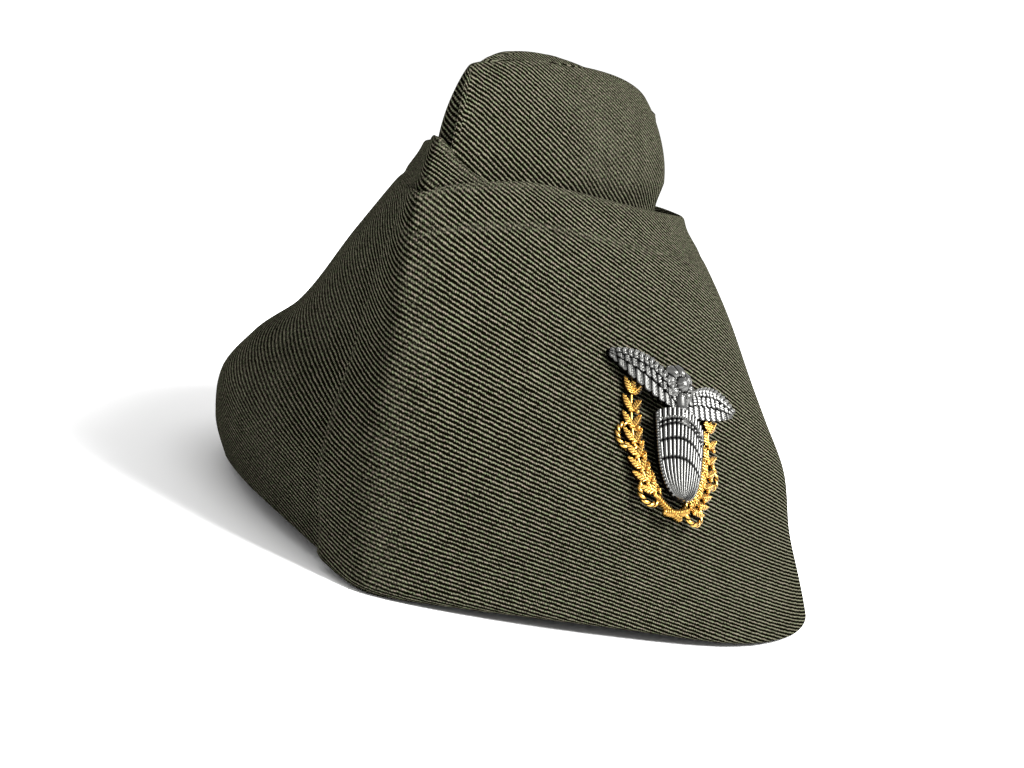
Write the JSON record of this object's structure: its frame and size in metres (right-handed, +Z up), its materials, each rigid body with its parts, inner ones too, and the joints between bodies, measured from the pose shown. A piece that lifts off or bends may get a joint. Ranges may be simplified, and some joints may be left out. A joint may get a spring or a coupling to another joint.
{
  "type": "garrison cap",
  "caption": "Soft folding cloth cap with a pointed front, turned-up curtains lapped at the front ridge, a narrow domed crown and a small two-metal badge on its left side.",
  "frame": {"origin": "on the surface that the rim stands on, under the middle of the cap's box", "axes": "+Z up, -Y towards the front ridge, +X towards the wearer's left"},
  "size_m": [0.1638, 0.25, 0.123],
  "materials": {
    "twill": "heavy olive-brown twill, pale ribs over dark gaps",
    "silver": "bright cast silver colour with dark hollows",
    "gilt": "bright gilt",
    "post": "plain"
  },
  "bodies": {
    "root": {"left_curtain": "twill", "right_curtain": "twill", "left_crown_panel": "twill", "right_crown_panel": "twill", "top_gusset": "twill", "badge_winged_shell": "silver", "badge_sprays": "gilt", "badge_post": "post"}
  },
  "joints": []
}
